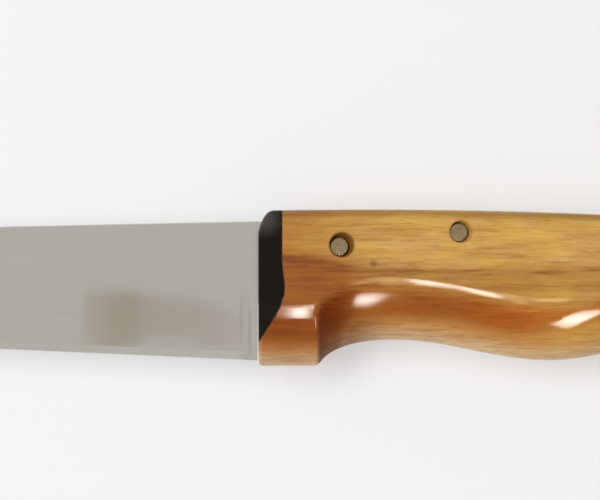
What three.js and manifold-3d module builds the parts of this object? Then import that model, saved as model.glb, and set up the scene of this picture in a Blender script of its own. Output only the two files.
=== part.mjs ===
// Butcher knife. The tapered tang of a steel blade lies in a saw kerf along the top of a one-piece
// wooden handle, behind a black block at the handle's front, and two rivets hold wood and tang.
// Millimetres. X runs from the tip to the butt, Y from the cutting edge to the spine, and Z through
// the thickness: the knife lies on the flat side of its handle, as it is laid on a board.
// In the outlines X is 0 at the front face of the handle and Y is 0 at the handle's top.

import * as THREE from "three";
import { mergeVertices } from "three/addons/utils/BufferGeometryUtils.js";
import Module from "manifold-3d";

// Blade
const BLADE_LENGTH = 180; // front face of the handle to the tip
const HEEL_HEIGHT = 32; // spine to edge at the handle
const SPINE_STEP = 2.45; // the handle's top stands this far above the spine
const SPINE_THICKNESS = 2.4; // at the heel, and all along the tang
const TIP_THICKNESS = 1.2; // the spine at the tip
const SPINE_BOW = 0.4; // how far the spine's curve is drawn up from a straight line
const STRAIGHT_EDGE = 95; // heel to where the edge begins to curve up
const EDGE_RISE = 4.2; // how far the edge comes up over that straight stretch
const TIP_DROP = 4.6; // the tip lies this far below the spine at the heel
const TIP_HEIGHT = 0.5; // the point is blunted this much
const BEVEL_HEIGHT = 1.8; // sharpened band along the edge
const BEVEL_THICKNESS = 0.7; // blade thickness at the top of that band
const EDGE_THICKNESS = 0.1;
const RICASSO_LENGTH = 1.5; // unground stretch in front of the handle
const PLUNGE_LENGTH = 3; // run over which the grind reaches its full depth
const HEEL_CLEARANCE = 0.3; // heel to the front face of the handle

// Tang
const TANG_LENGTH = 72; // from the front face of the handle
const TANG_ROOT_HEIGHT = 21.3; // its lower edge at the front face, down from the handle's top
const TANG_END_HEIGHT = 3;
const TANG_CLEARANCE = 0.3; // tang to the sides, the floor and the end of its kerf
const TANG_INSET = 0.1; // the tang's back lies this far under the handle's top

// Handle
const HANDLE_THICKNESS = 23;
const GUARD_DROP = 1.3; // the guard reaches this far below the heel's edge
const GUARD_LENGTH = 13.6; // front face to the corner where the finger scoop begins
const GUARD_CORNER = 1; // that corner is eased over this length to each side
const SCOOP_RUN = 17.4; // guard corner to the top of the scoop
const SCOOP_RISE = 6; // the top of the scoop, up from the guard's underside
const BELLY_RUN = 36; // scoop to the fullest part of the belly
const BELLY_RISE = 1.3;
const WAIST_RUN = 33; // belly to the rear waist
const WAIST_RISE = 6.5;
const HOOK_RUN = 22; // rear waist to the lowest point of the hook
const HOOK_RISE = 1.5;
const BUTT_RUN = 9; // hook to the butt face
const BUTT_HOOK_RISE = 9; // height of the butt's rounding at the hook
const BUTT_TOP_RUN = 12; // length of the butt's rounding at the top
const BUTT_TOP_DROP = 11; // height of that rounding
const TOP_FALL = 3.4; // the top falls this far from the front to the butt's rounding
const TOP_BOW = 2.8; // how far the top's curve is drawn up from a straight line
const NOSE_LENGTH = 3.4; // run of the eased corner from the front face up to the handle's top
const NOSE_DROP = 5; // height of that corner
const TOP_EDGE_RADIUS = 2;
const ROLL_HEIGHT = 15.5; // height of the rounding from each flat side to the underside
const ROLL_SIDE_EASE = 3.5; // how gently it leaves the flat side
const ROLL_UNDER_EASE = 5; // how gently it turns under
const FRONT_EDGE_RADIUS = 1;
const BUTT_EDGE_RADIUS = 5;

// Black front block
const BOLSTER_LENGTH = 5.3; // along the handle's top
const BOLSTER_STRAIGHT = 11; // height of its straight back edge
const BOLSTER_SWELL = 0.6; // how much longer it is at its fullest
const BOLSTER_SWELL_DROP = 7; // straight back edge down to its fullest
const BOLSTER_TOE_RISE = 5.7; // its lower point, up from the guard's underside
const GLUE_LINE = 0.2; // block to wood

// Rivets
const FRONT_RIVET_AT = 18.5; // from the front face of the handle
const REAR_RIVET_FROM_END = 26.2; // from the end of the tang
const RIVET_DIAMETER = 3.4;
const RIVET_SPREAD = 0.3; // each end is peened out this far beyond the shank
const RIVET_HEAD_HEIGHT = 0.8;
const RIVET_DOME = 0.15; // crown of each peened end
const RIVET_INSET = 0.15; // each end lies this far under the flat of the handle
const RIVET_CLEARANCE = 0.3; // shank to its bore
const MOUTH_CLEARANCE = 0.85; // head to the mouth of its countersink

// Fineness of the curved surfaces
const CURVE_STEPS = 9; // along each bend of an outline
const TRACE_STEPS = 200; // along each bend where only its height is read
const CORNER_STEPS = 4; // round a small edge
const ROLL_STEPS = 9; // round each side of the underside
const ROUND_STEPS = 28; // round a rivet
const STATION_GAP = 0.25; // cross-sections stay this far apart
const OVERCUT = 2; // how far a cutting shape reaches past what it cuts

// Curve handles, as shares of the run and the rise of the bend that they shape
const S_HANDLE = 0.364;
const QUARTER_HANDLE = 0.552;
const NOSE_HANDLE = { run: 0.32, rise: 0.96 };
const SCOOP_HANDLE = { run: 0.16, rise: 0.67, topRun: 0.52 };
const TOE_HANDLE = { run: 0.5, rise: 0.385, topRise: 0.287 };
const TIP_HANDLE = { run: 0.2, rise: 0.34, edgeRun: 0.4 };
const MOST_ROLL = 0.55; // share of the handle's height that its rounding may take at the butt

// Sizes that follow from those above
const GUARD_HEIGHT = SPINE_STEP + HEEL_HEIGHT + GUARD_DROP;
const SCOOP_AT = GUARD_LENGTH + SCOOP_RUN;
const BELLY_AT = SCOOP_AT + BELLY_RUN;
const WAIST_AT = BELLY_AT + WAIST_RUN;
const HOOK_AT = WAIST_AT + HOOK_RUN;
const HANDLE_LENGTH = HOOK_AT + BUTT_RUN;
const REAR_RIVET_AT = TANG_LENGTH - REAR_RIVET_FROM_END;
const ABOVE_HANDLE = TOP_BOW + OVERCUT;

const { clamp, lerp, smoothstep } = THREE.MathUtils;
const wasm = await Module();
wasm.setup();

// A closed geometry as a solid that can be joined and cut.
function solidOf(geometry) {
  const bare = geometry.clone();
  bare.deleteAttribute("normal");
  bare.deleteAttribute("uv");
  const merged = mergeVertices(bare);
  const mesh = new wasm.Mesh({
    numProp: 3,
    vertProperties: new Float32Array(merged.attributes.position.array),
    triVerts: new Uint32Array(merged.index.array),
  });
  return new wasm.Manifold(mesh);
}

// A solid as a geometry again.
function geometryOf(solid) {
  const mesh = solid.getMesh();
  const geometry = new THREE.BufferGeometry();
  geometry.setAttribute("position", new THREE.BufferAttribute(mesh.vertProperties, 3));
  geometry.setIndex(new THREE.BufferAttribute(mesh.triVerts, 1));
  geometry.computeVertexNormals();
  return geometry;
}

// A closed skin over rings of points, with a fan across each end. The rings follow each other
// along +X, and each goes round from +Y over +Z to -Y.
function loft(rings) {
  const count = rings[0].length;
  const last = (rings.length - 1) * count;
  const points = [...rings.flat(), middleOf(rings[0]), middleOf(rings.at(-1))];
  const frontHub = points.length - 2;
  const backHub = points.length - 1;
  const faces = [];
  for (let i = 0; i < count; i += 1) {
    const next = (i + 1) % count;
    for (let row = 0; row < last; row += count) {
      faces.push(row + i, row + next, row + count + next);
      faces.push(row + i, row + count + next, row + count + i);
    }
    faces.push(frontHub, next, i);
    faces.push(backHub, last + i, last + next);
  }
  const geometry = new THREE.BufferGeometry().setFromPoints(points);
  geometry.setIndex(faces);
  return geometry;
}

function middleOf(ring) {
  return new THREE.Box3().setFromPoints(ring).getCenter(new THREE.Vector3());
}

// A ring from the points of its upper side: the lower side mirrors them in the middle plane.
function ringFrom(x, upperSide) {
  const upper = upperSide.map(([y, z]) => new THREE.Vector3(x, y, z));
  const lower = upperSide.map(([y, z]) => new THREE.Vector3(x, y, -z)).reverse();
  return [...upper, ...lower];
}

// A flat plate of an outline, about the middle plane of the knife.
function plate(outline, thickness) {
  const geometry = new THREE.ExtrudeGeometry(outline, {
    depth: thickness,
    bevelEnabled: false,
    curveSegments: CURVE_STEPS,
  });
  return geometry.translate(0, 0, -thickness / 2);
}

// A round piece through the thickness of the knife. Its profile, radius then height, runs from the
// axis to the middle plane and is mirrored there.
function turned(profile) {
  const upper = profile.map(([radius, height]) => new THREE.Vector2(radius, height));
  const lower = profile.map(([radius, height]) => new THREE.Vector2(radius, -height));
  return new THREE.LatheGeometry([...lower, ...upper.reverse()], ROUND_STEPS).rotateX(Math.PI / 2);
}

// The height of a path at any x, for a path that runs steadily along +X.
function heightOn(path) {
  const points = path.getPoints(TRACE_STEPS);
  return (x) => {
    const found = points.findIndex((point) => point.x >= x);
    const after = found < 0 ? points.length - 1 : Math.max(found, 1);
    const start = points[after - 1];
    const end = points[after];
    return lerp(start.y, end.y, clamp((x - start.x) / (end.x - start.x), 0, 1));
  };
}

// Where along X the cross-sections of a path's bends lie.
function stationsOf(path) {
  return path.getPoints(CURVE_STEPS).map((point) => point.x);
}

// The fixed cross-sections, and those of the rest that don't crowd another.
function spaced(fixed, rest) {
  const kept = [...fixed];
  for (const x of rest) {
    if (kept.every((other) => Math.abs(other - x) > STATION_GAP)) kept.push(x);
  }
  return kept.sort((a, b) => a - b);
}

// Shares from 0 to 1 in even steps.
function shares(steps) {
  return Array.from({ length: steps + 1 }, (_, i) => i / steps);
}

// How much a rounded edge takes off at this distance from the end.
function roundingLoss(radius, distance) {
  const short = Math.max(radius - distance, 0);
  return radius - Math.sqrt(radius * radius - short * short);
}

// How far from the end the cross-sections of a rounded edge lie.
function roundingStations(radius) {
  return shares(CORNER_STEPS).map((share) => radius * (1 - Math.cos((share * Math.PI) / 2)));
}

// Continues a path with an S bend that is level at both ends.
function bendTo(path, x, y) {
  const from = path.currentPoint.clone();
  const handle = (x - from.x) * S_HANDLE;
  path.bezierCurveTo(from.x + handle, from.y, x - handle, y, x, y);
}

// The blade's spine, from the tip to the heel.
function makeSpinePath() {
  const tip = -SPINE_STEP - TIP_DROP + TIP_HEIGHT / 2;
  const middle = (tip - SPINE_STEP) / 2 + SPINE_BOW;
  const path = new THREE.Path();
  path.moveTo(-BLADE_LENGTH, tip);
  path.quadraticCurveTo(-BLADE_LENGTH / 2, middle, -HEEL_CLEARANCE, -SPINE_STEP);
  return path;
}

// The cutting edge, from the tip to the heel.
function makeEdgePath() {
  const tip = -SPINE_STEP - TIP_DROP - TIP_HEIGHT / 2;
  const heel = -SPINE_STEP - HEEL_HEIGHT;
  const start = heel + EDGE_RISE;
  const run = BLADE_LENGTH - STRAIGHT_EDGE;
  const reach = run * TIP_HANDLE.edgeRun;
  const path = new THREE.Path();
  path.moveTo(-BLADE_LENGTH, tip);
  path.bezierCurveTo(
    -BLADE_LENGTH + run * TIP_HANDLE.run,
    lerp(start, tip, TIP_HANDLE.rise),
    -STRAIGHT_EDGE - reach,
    start + (reach * EDGE_RISE) / STRAIGHT_EDGE,
    -STRAIGHT_EDGE,
    start,
  );
  path.lineTo(-HEEL_CLEARANCE, heel);
  return path;
}

// The handle's top, from the front face to the butt.
function makeTopPath() {
  const roundStart = HANDLE_LENGTH - BUTT_TOP_RUN;
  const path = new THREE.Path();
  path.moveTo(0, -NOSE_DROP);
  path.quadraticCurveTo(NOSE_LENGTH * NOSE_HANDLE.run, -NOSE_DROP * (1 - NOSE_HANDLE.rise), NOSE_LENGTH, 0);
  path.quadraticCurveTo((NOSE_LENGTH + roundStart) / 2, TOP_BOW - TOP_FALL / 2, roundStart, -TOP_FALL);
  path.bezierCurveTo(
    roundStart + BUTT_TOP_RUN * QUARTER_HANDLE,
    -TOP_FALL,
    HANDLE_LENGTH,
    -TOP_FALL - BUTT_TOP_DROP * (1 - QUARTER_HANDLE),
    HANDLE_LENGTH,
    -TOP_FALL - BUTT_TOP_DROP,
  );
  return path;
}

// The handle's underside: guard, finger scoop, belly, rear waist, hook and butt.
function makeUndersidePath() {
  const scoop = -GUARD_HEIGHT + SCOOP_RISE;
  const hook = -GUARD_HEIGHT + HOOK_RISE;
  const path = new THREE.Path();
  path.moveTo(0, -GUARD_HEIGHT + FRONT_EDGE_RADIUS);
  path.quadraticCurveTo(0, -GUARD_HEIGHT, FRONT_EDGE_RADIUS, -GUARD_HEIGHT);
  const corner = new THREE.Vector2(GUARD_LENGTH, -GUARD_HEIGHT);
  const climb = new THREE.Vector2(SCOOP_RUN * SCOOP_HANDLE.run, SCOOP_RISE * SCOOP_HANDLE.rise);
  const leave = corner.clone().addScaledVector(climb, GUARD_CORNER / climb.length());
  path.lineTo(GUARD_LENGTH - GUARD_CORNER, -GUARD_HEIGHT);
  path.quadraticCurveTo(corner.x, corner.y, leave.x, leave.y);
  path.bezierCurveTo(
    corner.x + climb.x,
    corner.y + climb.y,
    SCOOP_AT - SCOOP_RUN * SCOOP_HANDLE.topRun,
    scoop,
    SCOOP_AT,
    scoop,
  );
  bendTo(path, BELLY_AT, -GUARD_HEIGHT + BELLY_RISE);
  bendTo(path, WAIST_AT, -GUARD_HEIGHT + WAIST_RISE);
  bendTo(path, HOOK_AT, hook);
  path.bezierCurveTo(
    HOOK_AT + BUTT_RUN * QUARTER_HANDLE,
    hook,
    HANDLE_LENGTH,
    hook + BUTT_HOOK_RISE * (1 - QUARTER_HANDLE),
    HANDLE_LENGTH,
    hook + BUTT_HOOK_RISE,
  );
  return path;
}

const spinePath = makeSpinePath();
const edgePath = makeEdgePath();
const topPath = makeTopPath();
const undersidePath = makeUndersidePath();
const spineAt = heightOn(spinePath);
const edgeAt = heightOn(edgePath);
const topAt = heightOn(topPath);
const undersideAt = heightOn(undersidePath);

// The tang's back: level with the spine at the handle's eased front corner, then just under its top.
function tangBackAt(x) {
  return Math.max(topAt(x), -SPINE_STEP) - TANG_INSET;
}

// The tang's lower edge: one straight taper.
function tangEdgeAt(x) {
  return lerp(-TANG_ROOT_HEIGHT, topAt(TANG_LENGTH) - TANG_END_HEIGHT, x / TANG_LENGTH);
}

// The rivets stand midway between the tang's back and its lower edge.
function rivetPlace(x) {
  return new THREE.Vector2(x, (topAt(x) + tangEdgeAt(x)) / 2);
}

const rivetPlaces = {
  front_rivet: rivetPlace(FRONT_RIVET_AT),
  rear_rivet: rivetPlace(REAR_RIVET_AT),
};

// One cross-section of the blade: a flat wedge with a sharpened band, square at the ricasso.
function bladeRing(x) {
  const spine = spineAt(x);
  const edge = edgeAt(x);
  const slope = Math.atan2(edgeAt(x) - edgeAt(x - STATION_GAP), STATION_GAP);
  const bevel = Math.min(BEVEL_HEIGHT / Math.cos(slope), (spine - edge) / 2);
  const full = lerp(SPINE_THICKNESS, TIP_THICKNESS, Math.max(-x - RICASSO_LENGTH, 0) / BLADE_LENGTH);
  const ground = smoothstep(-x, RICASSO_LENGTH, RICASSO_LENGTH + PLUNGE_LENGTH);
  return ringFrom(x, [
    [spine, full / 2],
    [edge + bevel, lerp(full, BEVEL_THICKNESS, ground) / 2],
    [edge, lerp(full, EDGE_THICKNESS, ground) / 2],
  ]);
}

// The tang follows the handle's top and tapers to a rounded end. It starts inside the ricasso.
function tangOutline() {
  const ease = TANG_END_HEIGHT / 2;
  const endTop = tangBackAt(TANG_LENGTH);
  const outline = new THREE.Shape();
  outline.moveTo(-RICASSO_LENGTH, -TANG_ROOT_HEIGHT);
  outline.lineTo(-RICASSO_LENGTH, -SPINE_STEP - TANG_INSET);
  for (const x of stationsOf(topPath)) {
    if (x < TANG_LENGTH - 2 * ease) outline.lineTo(x, tangBackAt(x));
  }
  outline.lineTo(TANG_LENGTH - ease, endTop);
  outline.quadraticCurveTo(TANG_LENGTH, endTop, TANG_LENGTH, endTop - ease);
  outline.quadraticCurveTo(
    TANG_LENGTH,
    tangEdgeAt(TANG_LENGTH),
    TANG_LENGTH - ease,
    tangEdgeAt(TANG_LENGTH - ease),
  );
  outline.lineTo(0, -TANG_ROOT_HEIGHT);
  outline.closePath();
  return outline;
}

// The saw kerf that takes the tang, open at the handle's top and front.
function kerfOutline() {
  const end = TANG_LENGTH + TANG_CLEARANCE;
  const outline = new THREE.Shape();
  outline.moveTo(-OVERCUT, ABOVE_HANDLE);
  outline.lineTo(-OVERCUT, tangEdgeAt(0) - TANG_CLEARANCE);
  outline.lineTo(0, tangEdgeAt(0) - TANG_CLEARANCE);
  outline.lineTo(end, tangEdgeAt(end) - TANG_CLEARANCE);
  outline.lineTo(end, ABOVE_HANDLE);
  outline.closePath();
  return outline;
}

// The front block: straight down from the top, then swept forward to a point on the front face.
function bolsterOutline(growth) {
  const straight = BOLSTER_LENGTH + growth;
  const fullest = straight + BOLSTER_SWELL;
  const fullestAt = -BOLSTER_STRAIGHT - BOLSTER_SWELL_DROP;
  const toe = -GUARD_HEIGHT + BOLSTER_TOE_RISE;
  const swell = BOLSTER_SWELL_DROP * S_HANDLE;
  const outline = new THREE.Shape();
  outline.moveTo(-OVERCUT, ABOVE_HANDLE);
  outline.lineTo(-OVERCUT, toe);
  outline.lineTo(growth, toe);
  outline.bezierCurveTo(
    lerp(growth, fullest, TOE_HANDLE.run),
    lerp(toe, fullestAt, TOE_HANDLE.rise),
    fullest,
    lerp(fullestAt, toe, TOE_HANDLE.topRise),
    fullest,
    fullestAt,
  );
  outline.bezierCurveTo(
    fullest,
    fullestAt + swell,
    straight,
    -BOLSTER_STRAIGHT - swell,
    straight,
    -BOLSTER_STRAIGHT,
  );
  outline.lineTo(straight, ABOVE_HANDLE);
  outline.closePath();
  return outline;
}

// One cross-section of the handle: flat sides and top, eased top edges, and an underside that
// leaves each side at a soft crease and turns under to meet in the middle.
function handleRing(x) {
  const top = topAt(x);
  const underside = undersideAt(x);
  const loss =
    roundingLoss(FRONT_EDGE_RADIUS, x) + roundingLoss(BUTT_EDGE_RADIUS, HANDLE_LENGTH - x);
  const half = HANDLE_THICKNESS / 2 - loss;
  const roll = Math.min(ROLL_HEIGHT, (top - underside) * MOST_ROLL);
  const topEdge = shares(CORNER_STEPS).map((share) => {
    const turn = (share * Math.PI) / 2;
    return [
      top - TOP_EDGE_RADIUS * (1 - Math.cos(turn)),
      half - TOP_EDGE_RADIUS * (1 - Math.sin(turn)),
    ];
  });
  const crease = underside + roll;
  const lowerRoll = new THREE.CubicBezierCurve(
    new THREE.Vector2(crease, half),
    new THREE.Vector2(crease - (ROLL_SIDE_EASE * roll) / ROLL_HEIGHT, half),
    new THREE.Vector2(underside, (ROLL_UNDER_EASE * half * 2) / HANDLE_THICKNESS),
    new THREE.Vector2(underside, 0),
  );
  const rollPoints = lowerRoll.getPoints(ROLL_STEPS).map((point) => point.toArray());
  const lowest = new THREE.Vector3(x, ...rollPoints.pop());
  const ring = ringFrom(x, [...topEdge, ...rollPoints]);
  ring.splice(ring.length / 2, 0, lowest);
  return ring;
}

// The whole handle before it is parted into block and wood.
function makeHandleForm() {
  const fixed = [0, GUARD_LENGTH - GUARD_CORNER, HANDLE_LENGTH];
  const rest = [
    ...stationsOf(undersidePath),
    ...stationsOf(topPath),
    ...roundingStations(FRONT_EDGE_RADIUS),
    ...roundingStations(BUTT_EDGE_RADIUS).map((run) => HANDLE_LENGTH - run),
  ];
  return solidOf(loft(spaced(fixed, rest).map(handleRing)));
}

// A rivet: a shank with both ends peened into the countersinks.
function makeRivet() {
  const shank = RIVET_DIAMETER / 2;
  const end = HANDLE_THICKNESS / 2 - RIVET_INSET;
  const rim = end - RIVET_DOME;
  return turned([
    [0, end],
    [shank + RIVET_SPREAD, rim],
    [shank, rim - RIVET_HEAD_HEIGHT],
  ]);
}

// The bore that takes a rivet, countersunk at both sides of the handle.
function makeBore() {
  const bore = RIVET_DIAMETER / 2 + RIVET_CLEARANCE;
  const mouth = RIVET_DIAMETER / 2 + RIVET_SPREAD + MOUTH_CLEARANCE;
  const side = HANDLE_THICKNESS / 2;
  const sink = RIVET_INSET + RIVET_DOME + RIVET_HEAD_HEIGHT + RIVET_CLEARANCE;
  return turned([
    [0, side + OVERCUT],
    [mouth, side + OVERCUT],
    [mouth, side],
    [bore, side - sink],
  ]);
}

// Cuts both rivets' bores through a solid.
function bored(solid) {
  return Object.values(rivetPlaces).reduce(
    (rest, place) => rest.subtract(solidOf(makeBore().translate(place.x, place.y, 0))),
    solid,
  );
}

// The blade and its tang, one piece of steel.
function makeBlade() {
  const plunge = shares(CORNER_STEPS).map((share) => -RICASSO_LENGTH - PLUNGE_LENGTH * share);
  const fixed = [-BLADE_LENGTH, -STRAIGHT_EDGE, ...plunge, -HEEL_CLEARANCE];
  const rest = [...stationsOf(edgePath), ...stationsOf(spinePath)];
  const blade = solidOf(loft(spaced(fixed, rest).map(bladeRing)));
  return bored(blade.add(solidOf(plate(tangOutline(), SPINE_THICKNESS))));
}

function mesh(name, geometry, colour, roughness, metalness) {
  const material = new THREE.MeshStandardMaterial({ color: colour, roughness, metalness });
  const piece = new THREE.Mesh(geometry, material);
  piece.name = name;
  return piece;
}

const handleForm = makeHandleForm();
const kerf = solidOf(plate(kerfOutline(), SPINE_THICKNESS + 2 * TANG_CLEARANCE));
const slotted = handleForm.subtract(kerf);
const bolster = slotted.intersect(solidOf(plate(bolsterOutline(0), HANDLE_THICKNESS + OVERCUT)));
const wood = bored(slotted.subtract(solidOf(plate(bolsterOutline(GLUE_LINE), HANDLE_THICKNESS + OVERCUT))));

const knife = new THREE.Group();
knife.add(mesh("blade", geometryOf(makeBlade()), 0xacaeae, 0.35, 1));
knife.add(mesh("bolster", geometryOf(bolster), 0x1e1a17, 0.35, 0));
knife.add(mesh("handle", geometryOf(wood), 0xb87a35, 0.3, 0));
for (const [name, place] of Object.entries(rivetPlaces)) {
  const rivet = mesh(name, makeRivet(), 0x8c8778, 0.5, 1);
  rivet.position.set(place.x, place.y, 0);
  knife.add(rivet);
}

// The origin is under the middle of the knife, on the surface that it lies on.
const extent = new THREE.Box3().setFromObject(knife);
const middle = extent.getCenter(new THREE.Vector3());
knife.position.set(-middle.x, -middle.y, -extent.min.z);

export default knife;
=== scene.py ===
import math

import bpy
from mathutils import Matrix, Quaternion, Vector, noise


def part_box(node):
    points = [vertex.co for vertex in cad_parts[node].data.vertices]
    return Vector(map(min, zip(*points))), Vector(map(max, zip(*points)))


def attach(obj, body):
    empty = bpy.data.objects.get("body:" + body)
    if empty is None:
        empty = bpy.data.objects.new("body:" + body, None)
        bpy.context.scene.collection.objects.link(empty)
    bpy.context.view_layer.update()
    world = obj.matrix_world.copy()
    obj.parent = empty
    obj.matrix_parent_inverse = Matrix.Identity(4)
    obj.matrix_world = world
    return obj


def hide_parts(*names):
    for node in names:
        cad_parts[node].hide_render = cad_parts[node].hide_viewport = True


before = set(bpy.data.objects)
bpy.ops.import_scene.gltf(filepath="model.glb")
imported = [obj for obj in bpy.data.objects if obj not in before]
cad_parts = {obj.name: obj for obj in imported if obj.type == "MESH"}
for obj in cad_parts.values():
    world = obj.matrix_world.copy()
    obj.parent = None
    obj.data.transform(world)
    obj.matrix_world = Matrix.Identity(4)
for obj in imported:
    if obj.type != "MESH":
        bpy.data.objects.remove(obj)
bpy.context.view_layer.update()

# A butcher knife, dressed for its photograph: a ground steel blade whose tang lies in the top of a
# varnished wooden handle, a black block at the handle's front, and two hammered rivets.
# Metres. The outlines are drawn from the front face of the handle (x = 0), the handle's top (y = 0)
# and the knife's middle plane (z = 0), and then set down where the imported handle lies.

MM = 0.001

# Blade
BLADE_LENGTH = 180 * MM
HEEL_HEIGHT = 32 * MM
SPINE_STEP = 2.45 * MM
SPINE_THICKNESS = 2.4 * MM
TIP_THICKNESS = 1.2 * MM
SPINE_BOW = 0.4 * MM
SPINE_CHAMFER = 0.2 * MM
STRAIGHT_EDGE = 95 * MM
EDGE_RISE = 4.2 * MM
TIP_DROP = 4.6 * MM
TIP_HEIGHT = 0.5 * MM
BEVEL_HEIGHT = 1.8 * MM
BEVEL_THICKNESS = 0.7 * MM
EDGE_THICKNESS = 0.1 * MM
# The most of the blade's height that the band and a chamfer take up, and how far up the band a face's
# middle may lie
MOST_BEVEL = 1 / 2
MOST_CHAMFER = 1 / 8
WHETTED_SHARE = 0.8
RICASSO_LENGTH = 1.5 * MM
PLUNGE_LENGTH = 3 * MM
HEEL_CLEARANCE = 0.3 * MM

# Tang
TANG_LENGTH = 72 * MM
TANG_ROOT_HEIGHT = 21.3 * MM
TANG_END_HEIGHT = 3 * MM
TANG_CLEARANCE = 0.3 * MM
TANG_INSET = 0.1 * MM
TANG_DRESSING = 0.02 * MM

# Handle
HANDLE_THICKNESS = 23 * MM
GUARD_DROP = 1.3 * MM
GUARD_LENGTH = 13.6 * MM
GUARD_CORNER = 1 * MM
SCOOP_RUN = 17.4 * MM
SCOOP_RISE = 6 * MM
BELLY_RUN = 36 * MM
BELLY_RISE = 1.3 * MM
WAIST_RUN = 33 * MM
WAIST_RISE = 6.5 * MM
HOOK_RUN = 22 * MM
HOOK_RISE = 1.5 * MM
BUTT_RUN = 9 * MM
BUTT_HOOK_RISE = 9 * MM
BUTT_TOP_RUN = 12 * MM
BUTT_TOP_DROP = 11 * MM
TOP_FALL = 3.4 * MM
TOP_BOW = 2.8 * MM
NOSE_LENGTH = 3.4 * MM
NOSE_DROP = 5 * MM
TOP_EDGE_RADIUS = 2 * MM
ROLL_HEIGHT = 15.5 * MM
ROLL_SIDE_EASE = 3.5 * MM
ROLL_UNDER_EASE = 5 * MM
FRONT_EDGE_RADIUS = 1 * MM
BUTT_EDGE_RADIUS = 5 * MM
MOST_ROLL = 0.55

# Black block
BOLSTER_LENGTH = 5.3 * MM
BOLSTER_STRAIGHT = 11 * MM
BOLSTER_SWELL = 0.6 * MM
BOLSTER_SWELL_DROP = 7 * MM
BOLSTER_TOE_RISE = 5.7 * MM
# A painted sheen at the top of the block's front: its middle and its reach
SHEEN_CORNER = Vector((1.5 * MM, -2 * MM, 0))
SHEEN_REACH = (0.5 * MM, 5 * MM)
GLUE_LINE = 0.2 * MM
GLUE_SLACK = 0.02 * MM

# Rivets
FRONT_RIVET_AT = 18.5 * MM
REAR_RIVET_AT = TANG_LENGTH - 26.2 * MM
RIVET_RADIUS = 1.7 * MM
RIVET_SPREAD = 0.3 * MM
RIVET_HEAD_HEIGHT = 0.8 * MM
RIVET_DOME = 0.1 * MM
RIVET_INSET = 0.06 * MM
RIVET_CLEARANCE = 0.3 * MM
RIVET_ROUNDING = 0.12 * MM
RIVET_CORNER_SHARE = 0.3
HAMMER_DENT = 0.04 * MM
HAMMER_MARK = 1.1 * MM
# Each countersink: its room round the rivet, its drift off centre, and how dark the wood is drawn in and
# around its mouth.
COUNTERSINKS = {
    "front_rivet": (0.72 * MM, Vector((0.54 * MM, 0.42 * MM, 0)), 0.9),
    "rear_rivet": (0.52 * MM, Vector((0.44 * MM, 0.14 * MM, 0)), 0.35),
}

# Wood. Each pair is where a change starts and where it is complete.
# Along the grip, from the handle's front
LINE_FALLS = (5.5 * MM, 31 * MM)
FRONT_RUSSET_FADES = (5.5 * MM, 33.5 * MM)
LOWER_RUSSET_FADES = (9 * MM, 25 * MM)
BAND_WARMS = (24 * MM, 72 * MM)
REAR_PALES = (56 * MM, 75 * MM)
# Where the painted shade behind the guard begins, and where it fades on the roll and further under
SHADE_BEGINS = (13.2 * MM, 14.2 * MM)
ROLL_SHADE_FADES = (17 * MM, 25.5 * MM)
UNDER_SHADE_FADES = (20 * MM, 31 * MM)
# Down from the handle's top
LINE_DEPTH = (9.9 * MM, 12.4 * MM)
# Where the painted shade on the eased top edges is strongest, and where it clears
EDGE_DARKENS = (0.02 * MM, 0.3 * MM)
EDGE_CLEARS = (0.6 * MM, 2.6 * MM)
# Up from the dark line
RUSSET_GATHERS = (4 * MM, -0.2 * MM)
LINE_LIGHTENS = (-0.5 * MM, -2.6 * MM)
RUSSET_THINS = (-3.5 * MM, -6.5 * MM)
# Up from the underside, where the roll's painted shade and its painted floor light begin
ROLL_TURNS_ORANGE = (16.3 * MM, 12.3 * MM)
ROLL_TURNS_PALE = (9.6 * MM, 5 * MM)
FLOOR_LIGHT_SHOWS = (4.5 * MM, 0.5 * MM)
# How far the grain wanders sideways, and how far that, the streaks and the rear shift the roll's colours
GRAIN_WANDER = 3 * MM
WANDER_SHIFT = -4 * MM
STREAK_SHIFT = 7 * MM
REAR_SHIFT = -2.6 * MM
# Streaks of grain from coarse to fine: length and gap in millimetres, and each kind's share of the tone.
# A streak goes 1.4 gaps deep into the wood.
STREAKS = ((45, 2.6, 0.3), (11, 0.9, 0.42), (4, 0.45, 0.28))
STREAK_DEPTH = 1.4
# A pin knot near the dark line: its place, its dark middle, its reach and how dark it is
PIN_KNOT = (Vector((26.3 * MM, -12.15 * MM, 0)), 0.2 * MM, 1.3 * MM, 0.6)
HOLE_DARK_RING = 0.5 * MM

# Curve handles, as shares of the run and the rise of the bend that they shape
S_HANDLE = 0.364
QUARTER_HANDLE = 0.552
TIP_RUN, TIP_RISE = 0.2, 0.34
TIP_EDGE_RUN = 0.4
NOSE_RUN, NOSE_FALL = 0.32, 0.04
SCOOP_FOOT_RUN, SCOOP_FOOT_RISE = 0.16, 0.67
SCOOP_TOP_RUN = 0.52
TOE_RUN, TOE_RISE = 0.5, 0.385
TOE_TOP_RISE = 0.287

# Fineness
CURVE_STEPS = 28
TRACE_STEPS = 200
CORNER_STEPS = 8
ROLL_STEPS = 26
ROUND_STEPS = 56
CROWN_STEPS = 7
CRISP_ANGLE = 28
CRISP_RIVET_ANGLE = 40
STATION_GAP = 0.06 * MM
SUPPORT_ROW = 0.3 * MM
OVERCUT = 2 * MM
ABOVE_HANDLE = TOP_BOW + OVERCUT
THROUGH_HANDLE = 2 * HANDLE_THICKNESS

# Stage
FLOOR_REACH = 8.0
FLOOR_DROP = 0.05 * MM
CARD_HEIGHT = 50 * MM
CARD_SPAN = (-43 * MM, -4 * MM)
CAMERA_HEIGHT = 1.5
SENSOR_WIDTH_MM = 36
SHOWN_WIDTH = 138.2 * MM
VIEW_CENTRE = (9.52 * MM, -9.06 * MM)
GRIP_MIDDLE = (10 * MM, -20 * MM, 0)
WHITE = "#FFF8EE"
AMBER = "#FFE8B0"
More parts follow.
